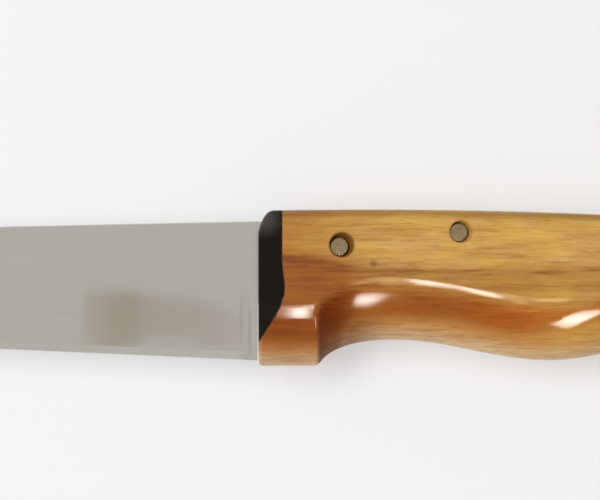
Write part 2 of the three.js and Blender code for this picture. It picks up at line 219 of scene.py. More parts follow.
# Each lamp's place and aim are measured from the same datum as the outlines, and its spread and roll
# are in degrees. The key lights the scene; the others show only as highlights in the varnish and polish.
KEY_LAMP = dict(place=(-1.05, 0.27, 1.7), aim=GRIP_MIDDLE, size=(1.4, 0.6), radiance=11.2)
GLOSS_LAMPS = {
    "crease_lamp": dict(
        place=(0.0175, -0.2585, 0.390), aim=(0.047, -0.0177, 0.0112),
        size=(0.017, 0.100), radiance=34, spread=16, tint=WHITE),
    "crease_glow": dict(
        place=(0.0425, -0.2515, 0.3965), aim=(0.047, -0.018, 0.0112),
        size=(0.018, 0.165), radiance=6.2, spread=40, tint=AMBER),
    "rear_glow": dict(
        place=(0.0867, -0.2564, 0.3965), aim=(0.071, -0.021, 0.0112),
        size=(0.055, 0.165), radiance=9.5, spread=13, tint=AMBER),
    "guard_lamp": dict(
        place=(0.0095, -0.158, 0.1585), aim=(0.0097, -0.0233, 0.0108),
        size=(0.0036, 0.050), radiance=57, spread=24, tint=WHITE),
    "scoop_lamp": dict(
        place=(0.0430, -0.141, 0.096), aim=(0.0246, -0.0205, 0.0096),
        size=(0.014, 0.044), radiance=30, spread=15, roll=7, tint=WHITE),
    "rear_lamp": dict(
        place=(0.101, -0.191, 0.117), aim=(0.0722, -0.0254, 0.0092),
        size=(0.052, 0.028), radiance=35, spread=17.6, roll=46, tint=WHITE),
}

# Sizes that follow
GUARD_HEIGHT = SPINE_STEP + HEEL_HEIGHT + GUARD_DROP
SCOOP_AT = GUARD_LENGTH + SCOOP_RUN
BELLY_AT = SCOOP_AT + BELLY_RUN
WAIST_AT = BELLY_AT + WAIST_RUN
HOOK_AT = WAIST_AT + HOOK_RUN
HANDLE_LENGTH = HOOK_AT + BUTT_RUN

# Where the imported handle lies
handle_low, handle_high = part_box("handle")
SEAT = Vector((handle_low[0], handle_low[1] + GUARD_HEIGHT, (handle_low[2] + handle_high[2]) / 2))


def mix(a, b, share):
    """The value at this share of the way from a to b."""
    return a + (b - a) * share


def ease(value):
    """A soft step from 0 to 1."""
    share = min(max(value, 0.0), 1.0)
    return share * share * (3 - 2 * share)


def point_on(controls, share):
    """The point at this share of a curve, from its control points."""
    points = [Vector(point) for point in controls]
    while len(points) > 1:
        points = [a.lerp(b, share) for a, b in zip(points, points[1:])]
    return points[0]


def traced(curves, steps):
    """Points along a path of joined curves."""
    points = [Vector(curves[0][0])]
    for controls in curves:
        count = steps if len(controls) > 2 else 1
        points += [point_on(controls, (i + 1) / count) for i in range(count)]
    return points


def height_on(curves):
    """The height of a path at any x."""
    points = traced(curves, TRACE_STEPS)

    def height(x):
        after = next((i for i, point in enumerate(points) if point.x >= x), len(points) - 1)
        start = points[max(after, 1) - 1]
        end = points[max(after, 1)]
        share = (x - start.x) / (end.x - start.x)
        return mix(start.y, end.y, min(max(share, 0.0), 1.0))

    return height


def bend(start, end):
    """An S bend that is level at both ends."""
    run = (end[0] - start[0]) * S_HANDLE
    return [start, (start[0] + run, start[1]), (end[0] - run, end[1]), end]


def spine_curves():
    """The spine, bowed a little between the tip and the heel."""
    tip = -SPINE_STEP - TIP_DROP + TIP_HEIGHT / 2
    middle = (tip - SPINE_STEP) / 2 + SPINE_BOW
    return [[(-BLADE_LENGTH, tip), (-BLADE_LENGTH / 2, middle), (-HEEL_CLEARANCE, -SPINE_STEP)]]


def edge_curves():
    """The edge: a belly up to the tip, and straight from there to the heel."""
    tip = -SPINE_STEP - TIP_DROP - TIP_HEIGHT / 2
    heel = -SPINE_STEP - HEEL_HEIGHT
    start = heel + EDGE_RISE
    run = BLADE_LENGTH - STRAIGHT_EDGE
    reach = run * TIP_EDGE_RUN
    belly = [
        (-BLADE_LENGTH, tip),
        (-BLADE_LENGTH + run * TIP_RUN, mix(start, tip, TIP_RISE)),
        (-STRAIGHT_EDGE - reach, start + reach * EDGE_RISE / STRAIGHT_EDGE),
        (-STRAIGHT_EDGE, start),
    ]
    return [belly, [(-STRAIGHT_EDGE, start), (-HEEL_CLEARANCE, heel)]]


def top_curves():
    """The handle's top: an eased nose, a bowed back and a rounded butt."""
    round_start = HANDLE_LENGTH - BUTT_TOP_RUN
    nose = [(0, -NOSE_DROP), (NOSE_LENGTH * NOSE_RUN, -NOSE_DROP * NOSE_FALL), (NOSE_LENGTH, 0)]
    back = [
        (NOSE_LENGTH, 0),
        ((NOSE_LENGTH + round_start) / 2, TOP_BOW - TOP_FALL / 2),
        (round_start, -TOP_FALL),
    ]
    butt = [
        (round_start, -TOP_FALL),
        (round_start + BUTT_TOP_RUN * QUARTER_HANDLE, -TOP_FALL),
        (HANDLE_LENGTH, -TOP_FALL - BUTT_TOP_DROP * (1 - QUARTER_HANDLE)),
        (HANDLE_LENGTH, -TOP_FALL - BUTT_TOP_DROP),
    ]
    return [nose, back, butt]


def underside_curves():
    """The handle's underside: front corner, guard, finger scoop, belly, waist, hook and butt."""
    low = -GUARD_HEIGHT
    hook = low + HOOK_RISE
    corner = Vector((GUARD_LENGTH, low))
    climb = Vector((SCOOP_RUN * SCOOP_FOOT_RUN, SCOOP_RISE * SCOOP_FOOT_RISE))
    leave = corner + climb.normalized() * GUARD_CORNER
    scoop_top = (SCOOP_AT, low + SCOOP_RISE)
    level_out = (SCOOP_AT - SCOOP_RUN * SCOOP_TOP_RUN, low + SCOOP_RISE)
    belly_low = (BELLY_AT, low + BELLY_RISE)
    waist_top = (WAIST_AT, low + WAIST_RISE)
    hook_low = (HOOK_AT, hook)
    butt = [
        hook_low,
        (HOOK_AT + BUTT_RUN * QUARTER_HANDLE, hook),
        (HANDLE_LENGTH, hook + BUTT_HOOK_RISE * (1 - QUARTER_HANDLE)),
        (HANDLE_LENGTH, hook + BUTT_HOOK_RISE),
    ]
    return [
        [(0, low + FRONT_EDGE_RADIUS), (0, low), (FRONT_EDGE_RADIUS, low)],
        [(FRONT_EDGE_RADIUS, low), (GUARD_LENGTH - GUARD_CORNER, low)],
        [(GUARD_LENGTH - GUARD_CORNER, low), corner, leave],
        [leave, corner + climb, level_out, scoop_top],
        bend(scoop_top, belly_low),
        bend(belly_low, waist_top),
        bend(waist_top, hook_low),
        butt,
    ]


spine_at = height_on(spine_curves())
edge_at = height_on(edge_curves())
top_at = height_on(top_curves())
underside_at = height_on(underside_curves())


def tang_back_at(x):
    """The tang's back: level with the spine at the eased front corner, then just under the top."""
    return max(top_at(x), -SPINE_STEP) - TANG_INSET


def tang_edge_at(x):
    """The tang's lower edge: one straight taper."""
    return mix(-TANG_ROOT_HEIGHT, top_at(TANG_LENGTH) - TANG_END_HEIGHT, x / TANG_LENGTH)


def rivet_place(x):
    """A rivet stands midway between the tang's back and its lower edge."""
    return Vector((x, (top_at(x) + tang_edge_at(x)) / 2, 0))


rivet_places = {
    "front_rivet": rivet_place(FRONT_RIVET_AT),
    "rear_rivet": rivet_place(REAR_RIVET_AT),
}


def piece_of(name, points, faces):
    """A mesh object of points drawn from the knife's own datum."""
    mesh = bpy.data.meshes.new(name)
    mesh.from_pydata([Vector(point) + SEAT for point in points], [], faces)
    piece = bpy.data.objects.new(name, mesh)
    bpy.context.scene.collection.objects.link(piece)
    return piece


def loft(name, rings):
    """A closed skin over rings of points that follow each other along +X."""
    count = len(rings[0])
    points = [point for ring in rings for point in ring]
    faces = []
    for row in range(len(rings) - 1):
        for i in range(count):
            a = row * count + i
            b = row * count + (i + 1) % count
            faces.append((a, b, b + count, a + count))
    last = (len(rings) - 1) * count
    faces.append(tuple(reversed(range(count))))
    faces.append(tuple(range(last, last + count)))
    return piece_of(name, points, faces)


def plate(name, outline, thickness):
    """A flat plate of an outline, about the middle plane. The outline goes round anticlockwise."""
    count = len(outline)
    points = [(x, y, side * thickness / 2) for side in (-1, 1) for x, y in outline]
    faces = [tuple(reversed(range(count))), tuple(range(count, 2 * count))]
    for i in range(count):
        j = (i + 1) % count
        faces.append((i, j, count + j, count + i))
    return piece_of(name, points, faces)


def turned(name, profile, centre, dent=0.0):
    """A round piece about Z, dented by a hammer up to this deep. Its profile, radius then height, runs up
    from axis to axis."""
    points = [Vector((0, 0, profile[0][1]))]
    for radius, height in profile[1:-1]:
        for i in range(ROUND_STEPS):
            turn = 2 * math.pi * i / ROUND_STEPS
            points.append(Vector((radius * math.cos(turn), radius * math.sin(turn), height)))
    points.append(Vector((0, 0, profile[-1][1])))
    faces = []
    rings = len(profile) - 2
    last = len(points) - 1
    for i in range(ROUND_STEPS):
        j = (i + 1) % ROUND_STEPS
        faces.append((0, 1 + j, 1 + i))
        for row in range(rings - 1):
            a = 1 + row * ROUND_STEPS
            faces.append((a + i, a + j, a + ROUND_STEPS + j, a + ROUND_STEPS + i))
        a = 1 + (rings - 1) * ROUND_STEPS
        faces.append((a + i, a + j, last))
    for point in points:
        depth = abs(noise.noise((point + centre) / HAMMER_MARK)) * dent
        point.z -= math.copysign(depth, point.z)
    return piece_of(name, [point + centre for point in points], faces)


def worked(piece, operation, tool):
    """Cuts a piece with a tool, joins the tool on, or keeps what lies inside it. The tool is used up."""
    modifier = piece.modifiers.new(operation, "BOOLEAN")
    modifier.operation = operation
    modifier.solver = "EXACT"
    modifier.object = tool
    evaluated = piece.evaluated_get(bpy.context.evaluated_depsgraph_get())
    mesh = bpy.data.meshes.new_from_object(evaluated)
    piece.modifiers.clear()
    old = piece.data
    piece.data = mesh
    bpy.data.meshes.remove(old)
    tool_mesh = tool.data
    bpy.data.objects.remove(tool)
    bpy.data.meshes.remove(tool_mesh)
    return piece


def smoothed(piece, degrees):
    """Smooth shading that breaks at every edge sharper than this."""
    piece.data.shade_smooth()
    piece.data.set_sharp_from_angle(angle=math.radians(degrees))
    return piece


def mirrored(x, upper_side):
    """A ring from its upper side, whose last point may lie on the middle plane."""
    upper = [(x, y, z) for y, z in upper_side]
    lower = [(x, y, -z) for y, z in reversed(upper_side) if z > 0]
    return upper + lower


def spaced(stations):
    """Stations in order, without those that crowd the one before."""
    kept = []
    for x in sorted(stations):
        if not kept or x - kept[-1] > STATION_GAP:
            kept.append(x)
    return kept


def rounding_loss(radius, distance):
    """How much a rounded edge takes off at this distance from the end."""
    short = max(radius - distance, 0)
    return radius - math.sqrt(radius * radius - short * short)


def rounding_stations(radius):
    """How far from the end the rings of a rounded edge lie."""
    return [radius * (1 - math.cos(i / CORNER_STEPS * math.pi / 2)) for i in range(CORNER_STEPS + 1)]


def blade_ring(x):
    """A flat-ground wedge with a whetted band along the edge, square at the ricasso."""
    spine = spine_at(x)
    edge = edge_at(x)
    slope = math.atan2(edge - edge_at(x - SUPPORT_ROW), SUPPORT_ROW)
    # Near the tip the band and the chamfer shrink with the blade.
    bevel = min(BEVEL_HEIGHT / math.cos(slope), (spine - edge) * MOST_BEVEL)
    full = mix(SPINE_THICKNESS, TIP_THICKNESS, max(-x - RICASSO_LENGTH, 0) / BLADE_LENGTH)
    ground = ease((-x - RICASSO_LENGTH) / PLUNGE_LENGTH)
    chamfer = min(SPINE_CHAMFER, (spine - edge) * MOST_CHAMFER)
    return mirrored(
        x,
        [
            (spine, full / 2 - chamfer),
            (spine - chamfer, full / 2),
            (edge + bevel, mix(full, BEVEL_THICKNESS, ground) / 2),
            (edge, mix(full, EDGE_THICKNESS, ground) / 2),
        ],
    )


def tang_outline():
    """The tang follows the handle's top and tapers to a rounded end. It starts inside the ricasso."""
    half = TANG_END_HEIGHT / 2
    end_top = tang_back_at(TANG_LENGTH)
    low = (TANG_LENGTH - half, tang_edge_at(TANG_LENGTH - half))
    outline = [(-RICASSO_LENGTH, -TANG_ROOT_HEIGHT), (0, -TANG_ROOT_HEIGHT), low]
    rounding = [
        [low, (TANG_LENGTH, tang_edge_at(TANG_LENGTH)), (TANG_LENGTH, end_top - half)],
        [(TANG_LENGTH, end_top - half), (TANG_LENGTH, end_top), (TANG_LENGTH - half, end_top)],
    ]
    outline += [tuple(point) for point in traced(rounding, CORNER_STEPS)[1:]]
    along = [point.x for point in traced(top_curves(), CURVE_STEPS)]
    for x in sorted(along, reverse=True):
        if x < TANG_LENGTH - TANG_END_HEIGHT:
            outline.append((x, tang_back_at(x)))
    outline.append((-RICASSO_LENGTH, -SPINE_STEP - TANG_INSET - SPINE_CHAMFER))
    return outline


def kerf_outline():
    """The saw kerf that takes the tang, open at the handle's top and front."""
    end = TANG_LENGTH + TANG_CLEARANCE
    return [
        (-OVERCUT, ABOVE_HANDLE),
        (-OVERCUT, tang_edge_at(0) - TANG_CLEARANCE),
        (0, tang_edge_at(0) - TANG_CLEARANCE),
        (end, tang_edge_at(end) - TANG_CLEARANCE),
        (end, ABOVE_HANDLE),
    ]


def block_outline(growth):
    """The black block: straight down from the top, then swept forward to a point on the front."""
    straight = BOLSTER_LENGTH + growth
    fullest = straight + BOLSTER_SWELL
    fullest_at = -BOLSTER_STRAIGHT - BOLSTER_SWELL_DROP
    toe = -GUARD_HEIGHT + BOLSTER_TOE_RISE
    swell = BOLSTER_SWELL_DROP * S_HANDLE
    sweep = [
        [
            (growth, toe),
            (mix(growth, fullest, TOE_RUN), mix(toe, fullest_at, TOE_RISE)),
            (fullest, mix(fullest_at, toe, TOE_TOP_RISE)),
            (fullest, fullest_at),
        ],
        [
            (fullest, fullest_at),
            (fullest, fullest_at + swell),
            (straight, -BOLSTER_STRAIGHT - swell),
            (straight, -BOLSTER_STRAIGHT),
        ],
    ]
    back_edge = [tuple(point) for point in traced(sweep, CURVE_STEPS)]
    return [(-OVERCUT, ABOVE_HANDLE), (-OVERCUT, toe), *back_edge, (straight, ABOVE_HANDLE)]


def handle_ring(x):
    """Flat sides and top, eased top edges, and an underside that rolls from a soft crease."""
    top = top_at(x)
    underside = underside_at(x)
    loss = rounding_loss(FRONT_EDGE_RADIUS, x)
    loss += rounding_loss(BUTT_EDGE_RADIUS, HANDLE_LENGTH - x)
    half = HANDLE_THICKNESS / 2 - loss
    roll = min(ROLL_HEIGHT, (top - underside) * MOST_ROLL)
    crease = underside + roll
    side = []
    for i in range(CORNER_STEPS + 1):
        turn = i / CORNER_STEPS * math.pi / 2
        y = top - TOP_EDGE_RADIUS * (1 - math.cos(turn))
        side.append((y, half - TOP_EDGE_RADIUS * (1 - math.sin(turn))))
    side.append((top - TOP_EDGE_RADIUS - SUPPORT_ROW, half))
    side.append((crease + SUPPORT_ROW, half))
    under = [
        (crease, half),
        (crease - ROLL_SIDE_EASE * roll / ROLL_HEIGHT, half),
        (underside, ROLL_UNDER_EASE * half * 2 / HANDLE_THICKNESS),
        (underside, 0),
    ]
    side += [tuple(point_on(under, i / ROLL_STEPS)) for i in range(ROLL_STEPS + 1)]
    return mirrored(x, side)


def handle_form(name):
    """The whole handle before it is parted into block and wood."""
    stations = [point.x for point in traced(underside_curves(), CURVE_STEPS)]
    stations += [point.x for point in traced(top_curves(), CURVE_STEPS)]
    stations += rounding_stations(FRONT_EDGE_RADIUS)
    stations += [HANDLE_LENGTH - run for run in rounding_stations(BUTT_EDGE_RADIUS)]
    return loft(name, [handle_ring(x) for x in spaced(stations)])


def bore(place, room=0, drift=Vector()):
    """The hole that takes a rivet, countersunk at both sides of the handle, a little off centre."""
    hole = RIVET_RADIUS + RIVET_CLEARANCE
    mouth = RIVET_RADIUS + RIVET_SPREAD + room
    side = HANDLE_THICKNESS / 2
    sink = RIVET_INSET + RIVET_DOME + RIVET_HEAD_HEIGHT + RIVET_CLEARANCE
    upper = [(hole, side - sink), (mouth, side), (mouth, side + OVERCUT), (0, side + OVERCUT)]
    lower = [(radius, -height) for radius, height in reversed(upper)]
    tool = turned("bore", lower + upper, place)
    for vertex in tool.data.vertices:
        if abs(vertex.co.z - SEAT.z) > side - sink / 2:
            vertex.co += drift
    return tool


def make_blade():
    """The blade and its tang, one piece of steel."""
    plunge = [-RICASSO_LENGTH - PLUNGE_LENGTH * i / CURVE_STEPS for i in range(CURVE_STEPS + 1)]
    along = [point.x for point in traced(edge_curves(), 2 * CURVE_STEPS)]
    straight = [-STRAIGHT_EDGE * i / CURVE_STEPS for i in range(2, CURVE_STEPS)]
    stations = spaced(plunge + along + straight)
    blade = loft("blade_and_tang", [blade_ring(x) for x in stations])
    tang = plate("tang", tang_outline(), SPINE_THICKNESS - TANG_DRESSING)
    worked(blade, "UNION", tang)
    for place in rivet_places.values():
        worked(blade, "DIFFERENCE", bore(place))
    return blade


def block_space(growth):
    """The room of the block in the handle's form, and this much more behind it."""
    return plate("block_space", block_outline(growth), THROUGH_HANDLE)


def kerf_space():
    """The room of the tang in the block and the wood."""
    return plate("kerf_space", kerf_outline(), SPINE_THICKNESS + 2 * TANG_CLEARANCE)


def make_block():
    """The black block at the handle's front."""
    block = handle_form("black_front_block")
    worked(block, "INTERSECT", block_space(0))
    worked(block, "DIFFERENCE", kerf_space())
    return smoothed(block, CRISP_ANGLE)


def make_grip():
    """The wooden grip, with each point's rise above the underside and drop below the top kept for its
    finish."""
    grip = handle_form("wooden_grip")
    worked(grip, "DIFFERENCE", block_space(GLUE_LINE))
    worked(grip, "DIFFERENCE", kerf_space())
    for node, place in rivet_places.items():
        room, drift, _ = COUNTERSINKS[node]
        worked(grip, "DIFFERENCE", bore(place, room, drift))
    rise = grip.data.attributes.new("rise", "FLOAT", "POINT")
    drop = grip.data.attributes.new("drop", "FLOAT", "POINT")
    for vertex in grip.data.vertices:
        x, y, _ = vertex.co - SEAT
        rise.data[vertex.index].value = y - underside_at(x)
        drop.data[vertex.index].value = top_at(x) - y
    return smoothed(grip, CRISP_ANGLE)


def make_glue_joint():
    """The dark resin that fills the joint between the block and the wood."""
    joint = handle_form("resin_glue_joint")
    worked(joint, "INTERSECT", block_space(GLUE_LINE - GLUE_SLACK))
    worked(joint, "DIFFERENCE", block_space(GLUE_SLACK))
    worked(joint, "DIFFERENCE", kerf_space())
    return smoothed(joint, CRISP_ANGLE)


def make_rivet(name, place):
    """A shank with both ends hammered over into the countersinks."""
    end = HANDLE_THICKNESS / 2 - RIVET_INSET
    rim = end - RIVET_DOME
    head = RIVET_RADIUS + RIVET_SPREAD
    flat = head - RIVET_ROUNDING
    corner_cut = RIVET_ROUNDING * RIVET_CORNER_SHARE
    upper = [
        (RIVET_RADIUS, rim - RIVET_HEAD_HEIGHT),
        (head, rim - RIVET_ROUNDING),
        (head - corner_cut, rim - corner_cut),
        (flat, rim),
    ]
    for i in range(1, CROWN_STEPS):
        share = i / CROWN_STEPS
        upper.append((flat * (1 - share), rim + RIVET_DOME * (1 - (1 - share) ** 2)))
    upper.append((0, end))
    lower = [(radius, -height) for radius, height in reversed(upper)]
    return smoothed(turned(name, lower + upper, place, HAMMER_DENT), CRISP_RIVET_ANGLE)


def linear(colour):
    """The linear colour of an sRGB hex value."""
    parts = [int(colour[i:i + 2], 16) / 255 for i in (1, 3, 5)]
    return (*(c / 12.92 if c <= 0.04045 else ((c + 0.055) / 1.055) ** 2.4 for c in parts), 1)


def add_node(tree, kind, inputs=(), stops=(), **settings):
    """Adds a node with its settings, the stops of its ramp, and its inputs as values or links."""
    node = tree.nodes.new(kind)
    for name, value in settings.items():
        setattr(node, name, value)
    for socket, value in dict(inputs).items():
        if isinstance(value, bpy.types.NodeSocket):
            tree.links.new(value, node.inputs[socket])
        else:
            node.inputs[socket].default_value = value
    for i, (place, colour) in enumerate(stops):
        ramp = node.color_ramp.elements
        stop = ramp[i] if i < len(ramp) else ramp.new(place)
        stop.position = place
        stop.color = linear(colour)
    return node


def new_material(name):
    """A material with a plain shader, its node tree and where on the knife each point lies."""
    material = bpy.data.materials.new(name)
    material.use_nodes = True
    tree = material.node_tree
    shader = tree.nodes["Principled BSDF"]
    place = add_node(tree, "ShaderNodeTexCoord").outputs["Object"]
    return material, tree, shader, place


def per(size_mm):
    """How many times a pattern of this size in millimetres repeats in a metre."""
    return 1 / (size_mm * MM)


def make_ground_steel(name, tones, roughness, grain_mm):
    """Stainless steel, ground along the blade and polished out: an even pale grey that carries soft
    reflections, with faint lengthwise grinding lines and the smears of handling."""
    material, tree, shader, place = new_material(name)
    # The real grinding lines are about 0.05 mm apart; they are drawn coarser so that they show.
    lines_at = add_node(tree, "ShaderNodeMapping", {
        "Vector": place, "Scale": (per(40), per(grain_mm), per(grain_mm)),
    })
    lines = add_node(tree, "ShaderNodeTexNoise", {
        "Vector": lines_at.outputs[0], "Scale": 1, "Detail": 4, "Roughness": 0.65,
    })
    smears = add_node(tree, "ShaderNodeTexNoise", {
        "Vector": place, "Scale": per(14), "Detail": 3, "Roughness": 0.5, "Distortion": 0.6,
    })
    tint = add_node(tree, "ShaderNodeMapRange", {
        "Value": lines.outputs["Fac"], "From Min": 0.3, "From Max": 0.7, "To Min": 0, "To Max": 1,
    })
    base = add_node(tree, "ShaderNodeValToRGB", {"Fac": tint.outputs[0]}, stops=tones)
    tree.links.new(base.outputs["Color"], shader.inputs["Base Color"])
    dull = add_node(tree, "ShaderNodeMapRange", {
        "Value": smears.outputs["Fac"], "From Min": 0.35, "From Max": 0.7,
        "To Min": roughness, "To Max": roughness + 0.07,
    })
    tree.links.new(dull.outputs[0], shader.inputs["Roughness"])
    relief = add_node(tree, "ShaderNodeBump", {
        "Height": lines.outputs["Fac"], "Strength": 0.05, "Distance": 0.02 * MM,
    })
    tree.links.new(relief.outputs[0], shader.inputs["Normal"])
    shader.inputs["Metallic"].default_value = 1
    return material


def make_black_block_finish():
    """Hard black plastic, filed and polished: nearly black, with a faint broad shine, fine file marks, and
    a painted sheen that makes the top of the front greyer."""
    material, tree, shader, place = new_material("hard_plastic_black_polished")
    # The real file marks are about 0.1 mm apart; they are drawn 0.5 mm apart so that they show.
    marks_at = add_node(tree, "ShaderNodeMapping", {
        "Vector": place, "Scale": (per(0.5), per(9), per(0.8)),
    })
    marks = add_node(tree, "ShaderNodeTexNoise", {
        "Vector": marks_at.outputs[0], "Scale": 1, "Detail": 4, "Roughness": 0.6,
    })
    base = add_node(tree, "ShaderNodeValToRGB", {"Fac": marks.outputs["Fac"]},
                    stops=[(0.3, "#0F0B08"), (0.75, "#1B140F")])
    flat_place = add_node(tree, "ShaderNodeVectorMath", {0: place, 1: (1, 1, 0)}, operation="MULTIPLY")
    # Painted sheen: the top of the front is painted greyer.
    corner = SEAT + SHEEN_CORNER
    apart = add_node(tree, "ShaderNodeVectorMath", {
        0: flat_place.outputs[0], 1: (corner.x, corner.y, 0),
    }, operation="DISTANCE")
    sheen_share = add_node(tree, "ShaderNodeMapRange", {
        "Value": apart.outputs["Value"], "From Min": SHEEN_REACH[0], "From Max": SHEEN_REACH[1],
        "To Min": 0.9, "To Max": 0,
    }, interpolation_type="SMOOTHSTEP")
    sheened = add_node(tree, "ShaderNodeMixRGB", {
        "Fac": sheen_share.outputs[0], "Color1": base.outputs["Color"], "Color2": linear("#46423F"),
    })
    tree.links.new(sheened.outputs["Color"], shader.inputs["Base Color"])
    shine = add_node(tree, "ShaderNodeMapRange", {
        "Value": marks.outputs["Fac"], "From Min": 0.3, "From Max": 0.7, "To Min": 0.42, "To Max": 0.55,
    })
    shader.inputs["Specular IOR Level"].default_value = 0.12
    tree.links.new(shine.outputs[0], shader.inputs["Roughness"])
    relief = add_node(tree, "ShaderNodeBump", {
        "Height": marks.outputs["Fac"], "Strength": 0.15, "Distance": 0.02 * MM,
    })
    tree.links.new(relief.outputs[0], shader.inputs["Normal"])
    return material


def draw_grain(tree, place):
    """Lengthwise streaks that wander a millimetre or so to each side. Gives the sockets that the other
    features of the wood are drawn from."""
    xyz = add_node(tree, "ShaderNodeSeparateXYZ", {"Vector": place})
    wander_at = add_node(tree, "ShaderNodeMapping", {
        "Vector": place, "Scale": (per(38), per(14), per(14)),
    })
    wander = add_node(tree, "ShaderNodeTexNoise", {
        "Vector": wander_at.outputs[0], "Scale": 1, "Detail": 2, "Roughness": 0.5,
    })
    layer = add_node(tree, "ShaderNodeMath", {
        0: wander.outputs["Fac"], 1: GRAIN_WANDER, 2: xyz.outputs["Y"],
    }, operation="MULTIPLY_ADD")
    along = add_node(tree, "ShaderNodeCombineXYZ", {
        "X": xyz.outputs["X"], "Y": layer.outputs[0], "Z": xyz.outputs["Z"],
    })
    tone = 0.0
    for length, gap, share in STREAKS:
        streak_at = add_node(tree, "ShaderNodeMapping", {
            "Vector": along.outputs[0], "Scale": (per(length), per(gap), per(STREAK_DEPTH * gap)),
        })
        streak = add_node(tree, "ShaderNodeTexNoise", {
            "Vector": streak_at.outputs[0], "Scale": 1, "Detail": 2, "Roughness": 0.5,
        })
        tone = add_node(tree, "ShaderNodeMath", {
            0: streak.outputs["Fac"], 1: share, 2: tone,
        }, operation="MULTIPLY_ADD").outputs[0]
    return {
        "x": xyz.outputs["X"], "layer": layer.outputs[0], "along": along.outputs[0],
        "wander": wander.outputs["Fac"], "tone": tone,
    }


def golden_wood(tree, place):
    """Cloudy patches about 12 mm long and 5 mm wide, some more yellow and some more pink."""
    patch_at = add_node(tree, "ShaderNodeMapping", {
        "Vector": place, "Scale": (per(12), per(5), per(5)),
    })
    patch = add_node(tree, "ShaderNodeTexNoise", {
        "Vector": patch_at.outputs[0], "Scale": 1, "Detail": 2, "Roughness": 0.5,
    })
    patchy = add_node(tree, "ShaderNodeMapRange", {
        "Value": patch.outputs["Fac"], "From Min": 0.38, "From Max": 0.62,
    })
    golden = add_node(tree, "ShaderNodeMixRGB", {
        "Fac": patchy.outputs[0], "Color1": linear("#D9B052"), "Color2": linear("#D0A35D"),
    })
    return golden.outputs["Color"]


def front_and_rear(tree, x):
    """How far each point shares in the russet of the grip's front and in the paler wood of its rear."""
    front = add_node(tree, "ShaderNodeMapRange", {
        "Value": x, "From Min": SEAT.x + FRONT_RUSSET_FADES[0], "From Max": SEAT.x + FRONT_RUSSET_FADES[1],
        "To Min": 0.62, "To Max": 0,
    }, interpolation_type="SMOOTHSTEP")
    rear = add_node(tree, "ShaderNodeMapRange", {
        "Value": x, "From Min": SEAT.x + REAR_PALES[0], "From Max": SEAT.x + REAR_PALES[1],
    }, interpolation_type="SMOOTHSTEP")
    return front.outputs[0], rear.outputs[0]


def dark_line(tree, grain):
    """A dark line runs along the grip, lower towards the rear. Gives how far each point lies above it, and
    how far the wood has darkened: quickly towards the line, and all the way below it."""
    line_at = add_node(tree, "ShaderNodeMapRange", {
        "Value": grain["x"], "From Min": SEAT.x + LINE_FALLS[0], "From Max": SEAT.x + LINE_FALLS[1],
        "To Min": SEAT.y - LINE_DEPTH[0], "To Max": SEAT.y - LINE_DEPTH[1],
    }, interpolation_type="SMOOTHSTEP")
    above = add_node(tree, "ShaderNodeMath", {
        0: grain["layer"], 1: line_at.outputs[0],
    }, operation="SUBTRACT")
    nearing = add_node(tree, "ShaderNodeMapRange", {
        "Value": above.outputs[0], "From Min": RUSSET_GATHERS[0], "From Max": RUSSET_GATHERS[1],
    })
    darkened = add_node(tree, "ShaderNodeMath", {0: nearing.outputs[0], 1: 3.4}, operation="POWER")
    return above.outputs[0], darkened.outputs[0]


def flat_sides(tree, place, grain, front, rear):
    """The colour of the flat sides: golden, and russet towards the front and below the dark line."""
    above, darkened = dark_line(tree, grain)
    strength = add_node(tree, "ShaderNodeMapRange", {
        "Value": grain["x"],
        "From Min": SEAT.x + LOWER_RUSSET_FADES[0], "From Max": SEAT.x + LOWER_RUSSET_FADES[1],
        "To Min": 1, "To Max": 0.55,
    }, interpolation_type="SMOOTHSTEP")
    # Towards the rear the russet thins out, most of all well below the line.
    deep = add_node(tree, "ShaderNodeMapRange", {
        "Value": above, "From Min": RUSSET_THINS[0], "From Max": RUSSET_THINS[1],
        "To Min": -0.05, "To Max": -0.35,
    }, interpolation_type="SMOOTHSTEP")
    thinned = add_node(tree, "ShaderNodeMath", {
        0: rear, 1: deep.outputs[0], 2: strength.outputs[0],
    }, operation="MULTIPLY_ADD")
    redness = add_node(tree, "ShaderNodeMath", {
        0: darkened, 1: thinned.outputs[0], 2: front,
    }, operation="MULTIPLY_ADD", use_clamp=True)
    russet = add_node(tree, "ShaderNodeMixRGB", {
        "Fac": redness.outputs[0], "Color1": golden_wood(tree, place), "Color2": linear("#9F5B15"),
    })
    # The line itself lightens again below, and the streaks of the grain break it up.
    lower = add_node(tree, "ShaderNodeMapRange", {
        "Value": above, "From Min": LINE_LIGHTENS[0], "From Max": LINE_LIGHTENS[1],
        "To Min": 1, "To Max": 0,
    }, interpolation_type="SMOOTHSTEP")
    line = add_node(tree, "ShaderNodeMath", {0: darkened, 1: lower.outputs[0]}, operation="MULTIPLY")
    broken = add_node(tree, "ShaderNodeMapRange", {
        "Value": grain["tone"], "From Min": 0.42, "From Max": 0.58, "To Min": 0.58, "To Max": 0.2,
    })
    drawn = add_node(tree, "ShaderNodeMath", {
        0: line.outputs[0], 1: broken.outputs[0],
    }, operation="MULTIPLY")
    lined = add_node(tree, "ShaderNodeMixRGB", {
        "Fac": drawn.outputs[0], "Color1": russet.outputs["Color"], "Color2": linear("#6B3A0B"),
    })
    return lined.outputs["Color"]


